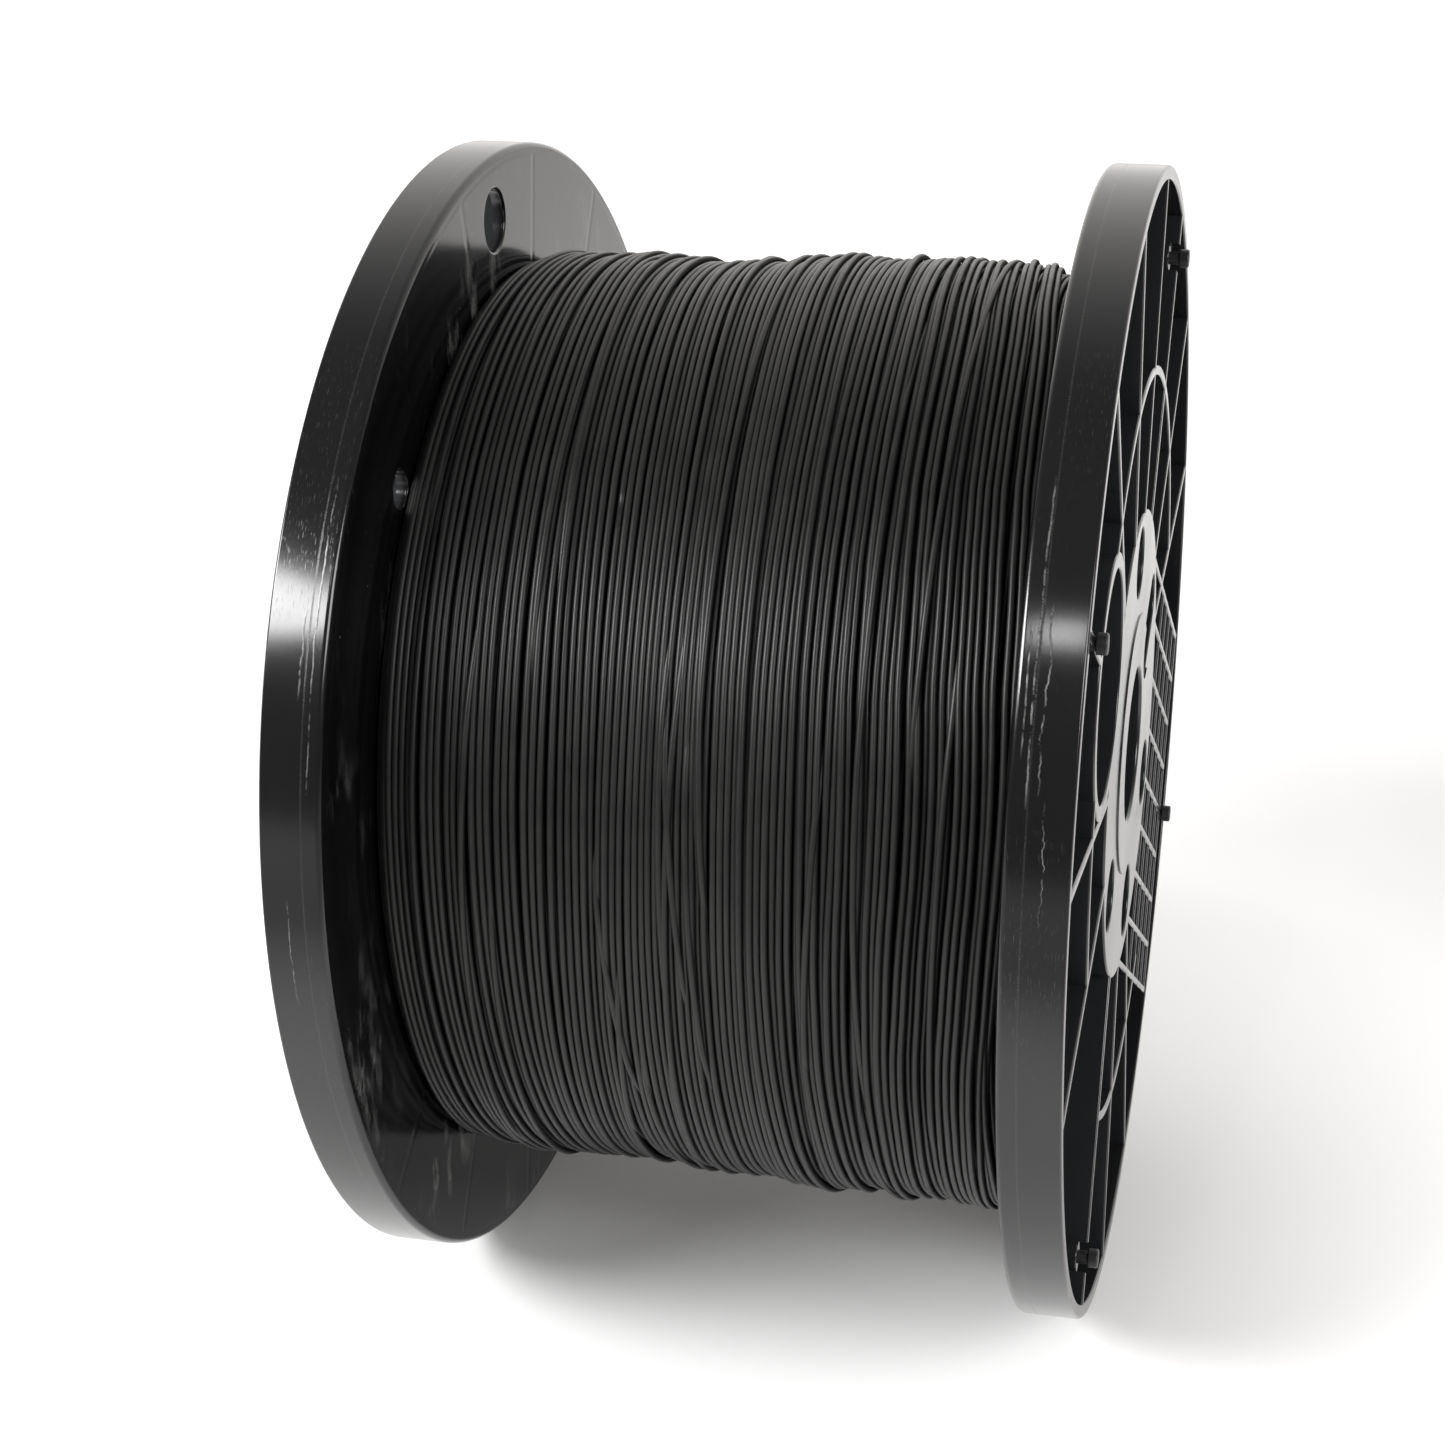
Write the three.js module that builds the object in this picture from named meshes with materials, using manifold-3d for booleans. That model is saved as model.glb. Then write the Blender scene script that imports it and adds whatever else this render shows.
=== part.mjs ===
// A large filament spool: two ribbed plastic flanges, a barrel between them, three tie bolts
// that clamp the stack, four push-in stacking pins on each flange, and the wound filament.
// Millimetres. X is the spool's axis, Z is up, and the origin is the spool's centre.
import * as THREE from 'three';
import { mergeVertices } from 'three/addons/utils/BufferGeometryUtils.js';
import Module from 'manifold-3d';

const wasm = await Module();
wasm.setup();

// Driving dimensions of the whole spool.
const FLANGE_R = 150; // across the flats of the faceted rim
const RIM_X = 91.2; // rim end face, from the spool's middle
const FLANGE_DEPTH = 15;
const GAP = 0.3; // clearance between touching pieces

// Flange moulding.
const RIM_WALL = 3.6;
const FLOOR = 3.2;
const EDGE_ROUND = 1.2; // rounded outer edge of the inner face
const EDGE_STEPS = 2;
const RIM_CHAMFER = 0.6;
const RIB = 2.3;
const RING_RIB_R = 98.3;
const RING_RIB = 2.5;
const HUB_R = 62.2;
const HUB_WALL = 3;
const HUB_RECESS = 0.8; // hub face below the rim end face
const PLATE = 3.2;
const SPIGOT = 6; // ring that the barrel slides over
const COLLAR_R = 34.5;
const COLLAR_RISE = 0.4;
const BORE_R = 20.5;
const BORE_WALL = 3.5;
const BORE_SLEEVE = 14;

// Angles are in degrees, from +Y towards +Z.
const BASE = 149; // direction of the round pocket, opposite the grid
const RIB_STEP = 22.5;
const RIB_COUNT = 16;
const OPEN_RIB = 3; // missing rib, counted on from BASE
const GRID_RIBS = [7, 8, 9]; // ribs replaced by the grid

// Round pocket.
const POCKET_AT = 82.2;
const POCKET_R = 28;
const POCKET_WALL = 3.9;

// Grid of square cells.
const GRID_PITCH = 14;
const GRID_HALF = 4; // rungs on each side of the middle one
const GRID_FIRST = 67.5;
const GRID_STEP = 15.75;
const GRID_CROSS = 5;
const GRID_RIB = 2;

// Openings and fastener seats in the hub face.
const BOLT_AT = 50;
const BOLT_ANGLES = [89, 209, 329];
const SEAT_R = 9.4;
const SEAT_WALL = 2.2;
const SEAT_DEPTH = 8;
const BOLT_HOLE_R = 3.4;
const DRIVE_AT = 48;
const DRIVE_ANGLE = 275;
const DRIVE_R = 10;
const SLOT_ANGLE = 29.5;
const SLOT_FROM = 25.5;
const SLOT_TO = 58.5;
const SLOT_HALF = 7.5;

// Holes through the floor for the filament's end: distance, angle, radius.
const TIE_HOLES = [
  { at: 134.4, angle: 94.7, r: 7.9 },
  { at: 121.5, angle: 135.5, r: 4.9 },
];

// Stacking pins.
const PIN_AT = 134.5;
const PIN_COUNT = 4;
const PIN_SHAFT_R = 1.75;
const PIN_HEAD_R = 2.5;
const PIN_HEAD = 2.6;
const PIN_PROUD = 2.7;
const BOSS_R = 3.9;
const BOSS_TOP = 88.6;
const BOSS_HOLE_DEPTH = 7.4;

// Barrel, filament and M6 hardware.
const BARREL_WALL = 3;
const WOUND_R = 123.4;
const WOUND_EDGE_DROP = 1.6;
const WOUND_EDGE = 4;
const SHANK_R = 3;
const HEAD_FLATS = 10;
const HEAD_DEPTH = 4;
const NUT_DEPTH = 5;
const WASHER_R = 8.8;
const WASHER_HOLE_R = 3.3;
const WASHER = 1.6;
const BOLT_PAST_NUT = 0.4;

// Facets of the round shapes.
const RIM_SIDES = 60;
const RING_SIDES = 36;
const CONE_SIDES = 24;
const HOLE_SIDES = 20;
const SMALL_SIDES = 12;

const INNER_X = RIM_X - FLANGE_DEPTH;
const FLOOR_X = INNER_X + FLOOR;
const HUB_X = RIM_X - HUB_RECESS;
const PLATE_X = HUB_X - PLATE;
const SEAT_X = HUB_X - SEAT_DEPTH;
const INNER_RIM_R = FLANGE_R - RIM_WALL;
const BARREL_R = HUB_R + GAP + BARREL_WALL;
const EMBED = 0.6; // how far a rib runs into the wall it joins
const OVERCUT = 1; // how far a cut runs past the face it opens
const SAME_POINT = 1e-4;
const RIB_TOP_DROP = 0.1; // rib tops just below the rim end face

const X = new THREE.Vector3(1, 0, 0);
const Y = new THREE.Vector3(0, 1, 0);
const Z = new THREE.Vector3(0, 0, 1);
// Turns a shape drawn in XY and extruded along Z into one drawn in YZ and extruded along X.
const EXTRUDED_TO_X = new THREE.Matrix4().makeBasis(Y, Z, X);
// Turns a profile revolved about Y into one revolved about X.
const TURNED_TO_X = new THREE.Matrix4().makeBasis(Z, X, Y);

const radians = THREE.MathUtils.degToRad;
const flats = (radius, sides) => radius / Math.cos(Math.PI / sides);

function solid(geometry) {
  const plain = geometry.index ? geometry.clone() : geometry;
  plain.deleteAttribute('normal');
  plain.deleteAttribute('uv');
  const merged = mergeVertices(plain, SAME_POINT);
  const mesh = new wasm.Mesh({
    numProp: 3,
    vertProperties: new Float32Array(merged.attributes.position.array),
    triVerts: new Uint32Array(merged.index.array),
  });
  return new wasm.Manifold(mesh);
}

function toGeometry(manifold) {
  const { vertProperties, triVerts } = manifold.getMesh();
  const geometry = new THREE.BufferGeometry();
  geometry.setAttribute('position', new THREE.BufferAttribute(vertProperties, 3));
  geometry.setIndex(new THREE.BufferAttribute(triVerts, 1));
  geometry.computeVertexNormals();
  return geometry;
}

// A closed profile of [radius, x] points, revolved about X. A facet's middle faces +Y.
function turned(profile, sides) {
  const points = profile.map(([r, x]) => new THREE.Vector2(r, x));
  points.push(points[0].clone());
  const geometry = new THREE.LatheGeometry(points, sides, Math.PI / sides, 2 * Math.PI);
  return solid(geometry.applyMatrix4(TURNED_TO_X));
}

// A round bar or hole along X, centred at a distance and angle from the axis.
function rod(radius, x0, x1, sides, at = 0, angle = 0) {
  const geometry = new THREE.CylinderGeometry(radius, radius, x1 - x0, sides);
  geometry.applyMatrix4(TURNED_TO_X);
  geometry.translate((x0 + x1) / 2, at * Math.cos(radians(angle)), at * Math.sin(radians(angle)));
  return solid(geometry);
}

// A plate drawn in YZ, from x0 to x1.
function plate(shape, x0, x1, curveSegments = SMALL_SIDES) {
  const geometry = new THREE.ExtrudeGeometry(shape, {
    depth: x1 - x0,
    bevelEnabled: false,
    curveSegments,
  });
  return solid(geometry.applyMatrix4(EXTRUDED_TO_X).translate(x0, 0, 0));
}

// A straight wall from u0 to u1 along a direction, offset sideways by v.
function wall(u0, u1, v, angle, thickness, x0, x1) {
  const geometry = new THREE.BoxGeometry(x1 - x0, u1 - u0, thickness);
  geometry.translate((x0 + x1) / 2, (u0 + u1) / 2, v);
  geometry.applyMatrix4(new THREE.Matrix4().makeRotationX(radians(angle)));
  return solid(geometry);
}

function arcWall(radius, thickness, from, to, x0, x1) {
  const shape = new THREE.Shape();
  shape.absarc(0, 0, radius + thickness / 2, radians(from), radians(to), false);
  shape.absarc(0, 0, radius - thickness / 2, radians(to), radians(from), true);
  shape.closePath();
  return plate(shape, x0, x1, Math.ceil((RING_SIDES * (to - from)) / 360));
}

function slotShape(angle, from, to, half) {
  const shape = new THREE.Shape();
  const [c, s] = [Math.cos(radians(angle)), Math.sin(radians(angle))];
  const turn = radians(angle);
  const [near, far] = [from + half, to - half];
  shape.absarc(far * c, far * s, half, turn - Math.PI / 2, turn + Math.PI / 2, false);
  shape.absarc(near * c, near * s, half, turn + Math.PI / 2, turn + 1.5 * Math.PI, false);
  shape.closePath();
  return shape;
}

const join = (pieces) => pieces.reduce((whole, piece) => whole.add(piece));

// Rim, floor, hub cup and barrel spigot in one revolved section.
function flangeShell() {
  const rimR = flats(FLANGE_R, RIM_SIDES);
  const rounded = [];
  for (let i = 0; i <= EDGE_STEPS; i += 1) {
    const a = (Math.PI / 2) * (i / EDGE_STEPS);
    const r = rimR - EDGE_ROUND * (1 - Math.cos(a));
    rounded.push([r, INNER_X + EDGE_ROUND * (1 - Math.sin(a))]);
  }
  return turned(
    [
      [BORE_R, HUB_X + COLLAR_RISE],
      [BORE_R, HUB_X + COLLAR_RISE - BORE_SLEEVE],
      [BORE_R + BORE_WALL, HUB_X + COLLAR_RISE - BORE_SLEEVE],
      [BORE_R + BORE_WALL, PLATE_X],
      [HUB_R - HUB_WALL, PLATE_X],
      [HUB_R - HUB_WALL, INNER_X - SPIGOT],
      [HUB_R, INNER_X - SPIGOT],
      [HUB_R, INNER_X],
      ...rounded.reverse(),
      [rimR, RIM_X - RIM_CHAMFER],
      [rimR - RIM_CHAMFER, RIM_X],
      [INNER_RIM_R, RIM_X],
      [INNER_RIM_R, FLOOR_X],
      [HUB_R, FLOOR_X],
      [HUB_R, HUB_X],
      [COLLAR_R, HUB_X],
      [COLLAR_R, HUB_X + COLLAR_RISE],
    ],
    RIM_SIDES,
  );
}

function radialRibs() {
  const ribs = [];
  for (let k = 1; k < RIB_COUNT; k += 1) {
    if (k !== OPEN_RIB && !GRID_RIBS.includes(k)) {
      const angle = BASE + k * RIB_STEP;
      ribs.push(wall(HUB_R - EMBED, INNER_RIM_R + EMBED, 0, angle, RIB, FLOOR_X - EMBED, RIM_X));
    }
  }
  const pocketEdge = POCKET_AT + POCKET_R + EMBED;
  ribs.push(wall(pocketEdge, INNER_RIM_R + EMBED, 0, BASE, RIB, FLOOR_X - EMBED, RIM_X));
  return ribs;
}

function ringRibs() {
  const gridStart = BASE + GRID_RIBS[0] * RIB_STEP;
  const openEnd = BASE + (OPEN_RIB + 1) * RIB_STEP;
  const openStart = BASE + (OPEN_RIB - 1) * RIB_STEP;
  const afterGrid = BASE + (GRID_RIBS[2] + 1) * RIB_STEP - 360;
  return [
    arcWall(RING_RIB_R, RING_RIB, afterGrid, openStart, FLOOR_X - EMBED, RIM_X),
    arcWall(RING_RIB_R, RING_RIB, openEnd, gridStart - RIB_STEP / 3, FLOOR_X - EMBED, RIM_X),
  ];
}

function gridRibs() {
  const angle = BASE + 180;
  const last = GRID_FIRST + (GRID_CROSS - 1) * GRID_STEP;
  const halfWidth = GRID_HALF * GRID_PITCH + GRID_RIB / 2;
  const ribs = [];
  for (let k = -GRID_HALF; k <= GRID_HALF; k += 1) {
    const v = k * GRID_PITCH;
    const start = Math.sqrt((HUB_R - EMBED) ** 2 - v ** 2);
    ribs.push(wall(start, last, v, angle, GRID_RIB, FLOOR_X - EMBED, RIM_X));
  }
  for (let k = 0; k < GRID_CROSS; k += 1) {
    const u = GRID_FIRST + k * GRID_STEP;
    const cross = wall(-halfWidth, halfWidth, -u, angle + 90, GRID_RIB, FLOOR_X - EMBED, RIM_X);
    ribs.push(cross);
  }
  return ribs;
}

// Rib tops fall slightly from the rim to the hub face.
function ribEnvelope() {
  return turned(
    [
      [0, INNER_X],
      [FLANGE_R - EMBED, INNER_X],
      [FLANGE_R - EMBED, RIM_X - RIB_TOP_DROP],
      [HUB_R, HUB_X],
      [0, HUB_X],
    ],
    CONE_SIDES,
  );
}

function pinAngles() {
  return Array.from({ length: PIN_COUNT }, (_, k) => BASE + (360 / PIN_COUNT) * k);
}

function flange() {
  const pocket = rod(POCKET_R, FLOOR_X, RIM_X + OVERCUT, RING_SIDES, POCKET_AT, BASE);
  const pocketWall = rod(POCKET_R + POCKET_WALL, INNER_X, RIM_X, RING_SIDES, POCKET_AT, BASE);
  const seats = BOLT_ANGLES.map((a) =>
    rod(SEAT_R + SEAT_WALL, SEAT_X - FLOOR, PLATE_X + EMBED, HOLE_SIDES, BOLT_AT, a));
  const bosses = pinAngles().map((a) =>
    rod(BOSS_R, FLOOR_X - EMBED, BOSS_TOP, SMALL_SIDES, PIN_AT, a));
  const ribs = join([...radialRibs(), ...ringRibs(), ...gridRibs(), pocketWall]);
  const added = join([ribs.intersect(ribEnvelope()), ...seats, ...bosses]);
  const cuts = [
    pocket,
    ...bossClearance(),
    ...BOLT_ANGLES.map((a) => rod(SEAT_R, SEAT_X, RIM_X, HOLE_SIDES, BOLT_AT, a)),
    ...BOLT_ANGLES.map((a) => rod(BOLT_HOLE_R, INNER_X, RIM_X, SMALL_SIDES, BOLT_AT, a)),
    rod(DRIVE_R, INNER_X, RIM_X, HOLE_SIDES, DRIVE_AT, DRIVE_ANGLE),
    plate(slotShape(SLOT_ANGLE, SLOT_FROM, SLOT_TO, SLOT_HALF), PLATE_X - OVERCUT, RIM_X),
    ...TIE_HOLES.map(({ at, angle, r }) =>
      rod(r, INNER_X - OVERCUT, FLOOR_X + OVERCUT, HOLE_SIDES, at, angle)),
  ];
  return flangeShell().add(added).subtract(join(cuts));
}

// Room round each stacking pin, and the blind hole that its shaft pushes into.
function bossClearance() {
  return pinAngles().flatMap((a) => [
    rod(BOSS_R, BOSS_TOP, RIM_X, SMALL_SIDES, PIN_AT, a),
    rod(PIN_SHAFT_R + GAP, BOSS_TOP - BOSS_HOLE_DEPTH, RIM_X, SMALL_SIDES, PIN_AT, a),
  ]);
}

function stackingPin() {
  const end = RIM_X + PIN_PROUD;
  return turned(
    [
      [0, BOSS_TOP - BOSS_HOLE_DEPTH + GAP],
      [PIN_SHAFT_R, BOSS_TOP - BOSS_HOLE_DEPTH + GAP],
      [PIN_SHAFT_R, end - PIN_HEAD],
      [PIN_HEAD_R, end - PIN_HEAD],
      [PIN_HEAD_R, end],
      [0, end],
    ],
    SMALL_SIDES,
  );
}

function washer() {
  const x = SEAT_X + GAP;
  return turned(
    [
      [WASHER_HOLE_R, x],
      [WASHER_R, x],
      [WASHER_R, x + WASHER],
      [WASHER_HOLE_R, x + WASHER],
    ],
    HOLE_SIDES,
  );
}

const fastenerX = SEAT_X + WASHER + 2 * GAP; // underside of a bolt head or nut
const hexRadius = flats(HEAD_FLATS / 2, 6);

function tieBolt() {
  const tip = -(fastenerX + NUT_DEPTH + BOLT_PAST_NUT);
  const head = rod(hexRadius, fastenerX, fastenerX + HEAD_DEPTH, 6);
  return head.add(rod(SHANK_R, tip, fastenerX + EMBED, SMALL_SIDES));
}

function nut() {
  const body = rod(hexRadius, -fastenerX - NUT_DEPTH, -fastenerX, 6);
  return body.subtract(rod(SHANK_R + GAP, -RIM_X, 0, SMALL_SIDES));
}

function barrel() {
  const [inner, half] = [HUB_R + GAP, INNER_X - GAP];
  return turned(
    [
      [inner, -half],
      [BARREL_R, -half],
      [BARREL_R, half],
      [inner, half],
    ],
    RIM_SIDES,
  );
}

function winding() {
  const [inner, half] = [flats(BARREL_R, RIM_SIDES) + GAP, INNER_X - 2 * GAP];
  const edgeR = WOUND_R - WOUND_EDGE_DROP;
  return turned(
    [
      [inner, -half],
      [edgeR, -half],
      [WOUND_R, -half + WOUND_EDGE],
      [WOUND_R, half - WOUND_EDGE],
      [edgeR, half],
      [inner, half],
    ],
    RIM_SIDES,
  );
}

const moulded = new THREE.MeshStandardMaterial({ color: 0x17181a, roughness: 0.35, metalness: 0 });
const pinPlastic = new THREE.MeshStandardMaterial({ color: 0x141516, roughness: 0.5, metalness: 0 });
const filament = new THREE.MeshStandardMaterial({ color: 0x2b2c2e, roughness: 0.55, metalness: 0 });
const steel = new THREE.MeshStandardMaterial({ color: 0x8d9094, roughness: 0.4, metalness: 1 });

function named(name, manifold, material) {
  const mesh = new THREE.Mesh(toGeometry(manifold), material);
  mesh.name = name;
  return mesh;
}

// Flips a mesh's shape from one side of the spool to the other.
function mirrorAcross({ geometry }) {
  const { position } = geometry.attributes;
  const corners = geometry.index.array;
  for (let i = 0; i < position.count; i += 1) position.setX(i, -position.getX(i));
  for (let i = 0; i < corners.length; i += 3) {
    [corners[i + 1], corners[i + 2]] = [corners[i + 2], corners[i + 1]];
  }
  geometry.computeVertexNormals();
}

function addSide(group, side) {
  const body = named(`${side}_flange`, flange(), moulded);
  const pins = pinAngles().map((angle, k) => {
    const pin = named(`${side}_stacking_pin_${k + 1}`, stackingPin(), pinPlastic);
    pin.position.set(0, PIN_AT * Math.cos(radians(angle)), PIN_AT * Math.sin(radians(angle)));
    return pin;
  });
  if (side === 'left') [body, ...pins].forEach(mirrorAcross);
  group.add(body, ...pins);
}

function addTie(group, number, angle) {
  const place = new THREE.Group();
  place.position.set(0, BOLT_AT * Math.cos(radians(angle)), BOLT_AT * Math.sin(radians(angle)));
  place.add(named(`tie_bolt_${number}`, tieBolt(), steel));
  place.add(named(`tie_nut_${number}`, nut(), steel));
  place.add(named(`bolt_washer_${number}`, washer(), steel));
  const nutWasher = named(`nut_washer_${number}`, washer(), steel);
  nutWasher.rotation.z = Math.PI;
  place.add(nutWasher);
  group.add(place);
}

const spool = new THREE.Group();
addSide(spool, 'right');
addSide(spool, 'left');
spool.add(named('barrel', barrel(), moulded));
spool.add(named('filament_winding', winding(), filament));
BOLT_ANGLES.forEach((angle, k) => addTie(spool, k + 1, angle));

export default spool;
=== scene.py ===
"""Looks for a large filament spool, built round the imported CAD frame.

Metres throughout. X is the spool's axis, Z is up, and the origin is the spool's centre.
Angles round the axis are in degrees from +Y towards +Z.
"""
import math
import random

import bmesh
import bpy
import numpy as np
from mathutils import Matrix, Vector


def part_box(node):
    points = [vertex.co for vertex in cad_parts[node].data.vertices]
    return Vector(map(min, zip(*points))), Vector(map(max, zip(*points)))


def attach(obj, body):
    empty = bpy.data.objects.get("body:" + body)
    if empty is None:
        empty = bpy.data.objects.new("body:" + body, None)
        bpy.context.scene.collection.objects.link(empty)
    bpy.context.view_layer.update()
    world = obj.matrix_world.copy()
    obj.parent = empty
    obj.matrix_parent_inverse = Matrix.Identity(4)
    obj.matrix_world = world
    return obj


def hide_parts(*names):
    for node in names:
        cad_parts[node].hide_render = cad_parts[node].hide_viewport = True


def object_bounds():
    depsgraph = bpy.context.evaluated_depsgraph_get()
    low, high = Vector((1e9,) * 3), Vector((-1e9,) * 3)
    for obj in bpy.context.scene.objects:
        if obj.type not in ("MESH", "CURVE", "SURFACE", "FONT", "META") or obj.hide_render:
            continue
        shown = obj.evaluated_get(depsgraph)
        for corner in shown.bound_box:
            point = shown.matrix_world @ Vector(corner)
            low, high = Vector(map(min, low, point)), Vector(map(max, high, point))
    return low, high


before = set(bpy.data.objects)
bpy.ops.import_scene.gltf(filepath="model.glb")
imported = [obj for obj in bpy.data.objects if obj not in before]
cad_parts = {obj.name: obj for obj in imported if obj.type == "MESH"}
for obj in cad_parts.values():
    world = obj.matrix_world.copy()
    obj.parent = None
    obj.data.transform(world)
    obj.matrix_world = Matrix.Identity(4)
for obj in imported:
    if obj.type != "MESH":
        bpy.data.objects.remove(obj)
cad_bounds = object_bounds()

MM = 0.001
rng = random.Random(1750)

# Sizes read from the frame.
FLANGE_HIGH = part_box("right_flange")[1]
PIN_LOW, PIN_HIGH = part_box("right_stacking_pin_1")
BARREL_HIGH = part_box("barrel")[1]
WOUND_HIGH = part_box("filament_winding")[1]
FLANGE_R = FLANGE_HIGH.z
RIM_X = FLANGE_HIGH.x
PIN_AT = math.hypot((PIN_LOW.y + PIN_HIGH.y) / 2, (PIN_LOW.z + PIN_HIGH.z) / 2)
BARREL_R = BARREL_HIGH.z
BARREL_HALF = BARREL_HIGH.x
WOUND_HALF = WOUND_HIGH.x

SKIN = 0.02 * MM  # keeps the smooth surfaces just inside the faceted frame

# Flange moulding.
INNER_X = RIM_X - 15 * MM
FLOOR_X = INNER_X + 3.2 * MM
HUB_X = RIM_X - 0.8 * MM - SKIN
RIM_WALL = 3.6 * MM
EDGE_ROUND = 1.6 * MM
RIM_INNER_R = FLANGE_R - RIM_WALL
HUB_R = 62.2 * MM
HUB_WALL = 3 * MM
PLATE = 3.2 * MM
PLATE_X = HUB_X - PLATE
PARTING_X = INNER_X + 4.9 * MM  # the mould's parting line round the rim
SPIGOT = 6 * MM
COLLAR_R = 34.5 * MM
COLLAR_RISE = 0.4 * MM
BORE_R = 20.5 * MM
BORE_WALL = 3.5 * MM
BORE_SLEEVE = 14 * MM
RIB = 2.3 * MM
RING_RIB = 2.5 * MM
RING_RIB_R = 98.3 * MM
RIB_FOOT = FLOOR_X - 0.6 * MM
RIB_EMBED = 0.8 * MM
RIB_EDGE = 0.45 * MM  # rounding of the rib tops
RIB_DRAFT = 0.12 * MM
RIB_TOP_DROP = 0.12 * MM  # rib tops just below the rim's end face
BASE = 149  # direction of the round pocket, opposite the grid
RIB_COUNT = 16
RIB_STEP = 360 / RIB_COUNT
OPEN_RIB = 3  # missing rib, counted on from BASE
GRID_RIBS = (7, 8, 9)  # ribs replaced by the grid

# Round pocket and grid of square cells.
POCKET_AT = 82.2 * MM
POCKET_R = 28 * MM
POCKET_WALL = 3.9 * MM
GRID_PITCH = 14 * MM
GRID_HALF = 4
GRID_FIRST = 67.5 * MM
GRID_STEP = 15.75 * MM
GRID_CROSS = 5
GRID_RIB = 2 * MM
GRID_EDGE = 0.85 * MM  # rounder tops on the ribs that cross the grid

# Openings and fastener seats.
BOLT_AT = 50 * MM
BOLT_ANGLES = (89, 209, 329)
BOLT_HOLE_R = 3.4 * MM
SEAT_R = 9.4 * MM
SEAT_WALL = 2.2 * MM
SEAT_X = HUB_X - 8 * MM
DRIVE_AT = 48 * MM
DRIVE_ANGLE = 275
DRIVE_R = 10 * MM
SLOT_ANGLE = 29.5
SLOT_FROM = 25.5 * MM
SLOT_TO = 58.5 * MM
SLOT_HALF = 7.5 * MM
TIE_HOLES = ((134.4 * MM, 94.7, 7.9 * MM), (121.5 * MM, 135.5, 4.9 * MM))  # at, angle, radius
TIE_EDGE = 0.8 * MM

# Stacking pins and their bosses.
PIN_COUNT = 4
PIN_STEP = 360 / PIN_COUNT
BOSS_R = 3.9 * MM
BOSS_TOP = RIM_X - 2.6 * MM
PIN_SHAFT_R = 1.75 * MM
PIN_HEAD_R = 2.5 * MM
PIN_HEAD = 2.6 * MM
PIN_HOLE_DEPTH = 7.4 * MM

# Barrel and M6 hardware.
BARREL_WALL = 3.1 * MM
FLATS = 9.95 * MM  # across the head and the nut
HEAD_DEPTH = 4 * MM
HEX_CHAMFER = 0.7 * MM
SHANK_R = 3 * MM
THREAD_PITCH = 1 * MM
THREAD_DEPTH = 0.5 * MM
THREAD_LENGTH = 24 * MM
WASHER_HOLE_R = 3.3 * MM

# Wound filament.
STRAND = 1.75 * MM
STEPS = 150  # points in each turn
LIFT = 0.50 * MM  # how unevenly neighbouring strands stand
WOUND_R = 120.9 * MM  # to the top strands' centres at the left
WOUND_RISE = 2.2 * MM  # how much higher they are at the right
RISE_FROM, RISE_OVER = 0.30, 0.35  # where the winding rises, as shares of its width
LUMP, LUMP_GROWTH = 0.40 * MM, 0.55 * MM  # lumps at the left, and what the right adds
END_DROP, END_REACH = 2.6 * MM, 4.5 * MM  # how far and how near the ends the winding sinks
CLOSEST = 0.62 * STRAND  # least pitch of two neighbours at different heights
GAP = 0.6 * MM  # typical width of an open gap
SLACK = 0.04 * MM  # mean room between neighbours
WOBBLE, UNDER_WOBBLE = 0.65 * MM, 0.25 * MM
STEADY_END = 9 * MM  # the wobble dies out this near the flanges
TOP_SIDES = 8
UNDER_SIDES = 6
TUCK = 1.6 * MM  # how deep the outer strand's ends go in
CROSSINGS = 44
CROSSING_SINK, CROSSING_LIFT = 1.9 * MM, 3.1 * MM
CORE_R = 118.6 * MM
CORE_RIPPLE = 0.42 * MM

# The floor reaches this far each way, and lies just under the rims.
FLOOR_REACH = 9
FLOOR_DROP = 0.05 * MM

# Sides of the round shapes, and distances that count as nothing.
FLANGE_SIDES = 288
BARREL_SIDES = 192
CORE_SIDES = 120
POCKET_SIDES = 96
WASHER_SIDES = 64
SEAT_SIDES = 48
PIN_SIDES = 40
HOLE_SIDES = 32
ON_AXIS = 1e-9
SAME_POINT = 1e-6

# Colours.
STUDIO_WHITE = (1, 0.975, 0.955, 1)
FLOOR_TONES = (0.80, 0.80, 0.80), (0.83, 0.83, 0.83)
FLOOR_IN_FRONT = (0.38, 0.38, 0.38)
FLANGE_BLACKS = (0.0022, 0.0023, 0.0026), (0.0038, 0.0038, 0.0040)
# painted light: a paler black for the cells of the ribbed side
CELL_PAINTED_LIGHT = (0.0150, 0.0158, 0.0172)
DUST_GREY = (0.20, 0.20, 0.195)
STRAND_GREYS = (0.0092, 0.0092, 0.0091), (0.0182, 0.0180, 0.0172)
# painted shade in the grooves between strands
GROOVE_PAINTED_SHADE = (0.0006, 0.0006, 0.0006)
PIN_BLACK = (0.009, 0.009, 0.010)
BARREL_BLACK = (0.011, 0.011, 0.012)
ZINC_GREYS = (0.50, 0.51, 0.52), (0.30, 0.30, 0.31)

# How the surround brightens: axis, where it starts and ends, strength before and after.
SKY = ((1, -0.05, 0.85, 0.0, 1.15), (2, 0.15, 0.75, 0.24, 0.30))

# Scratches on the rims: x, wander, width, first and last angle from -Y towards +Z.
RIGHT_SCRATCHES = (
    (80.6 * MM, 1.6 * MM, 0.26 * MM, 16, 44),
    (83.2 * MM, 4.2 * MM, 0.22 * MM, 17, 33),
    (79.0 * MM, 1.2 * MM, 0.24 * MM, 20, 31),
    (84.8 * MM, 5.0 * MM, 0.16 * MM, 6, 17),
)
LEFT_SCRATCHES = (
    (-82.5 * MM, 4.4 * MM, 0.24 * MM, 20, 28),
    (-79.6 * MM, 1.6 * MM, 0.22 * MM, 12, 40),
    (-85.0 * MM, 3.6 * MM, 0.16 * MM, -8, 3),
)


# ---------------------------------------------------------------- camera, floor and lights

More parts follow.
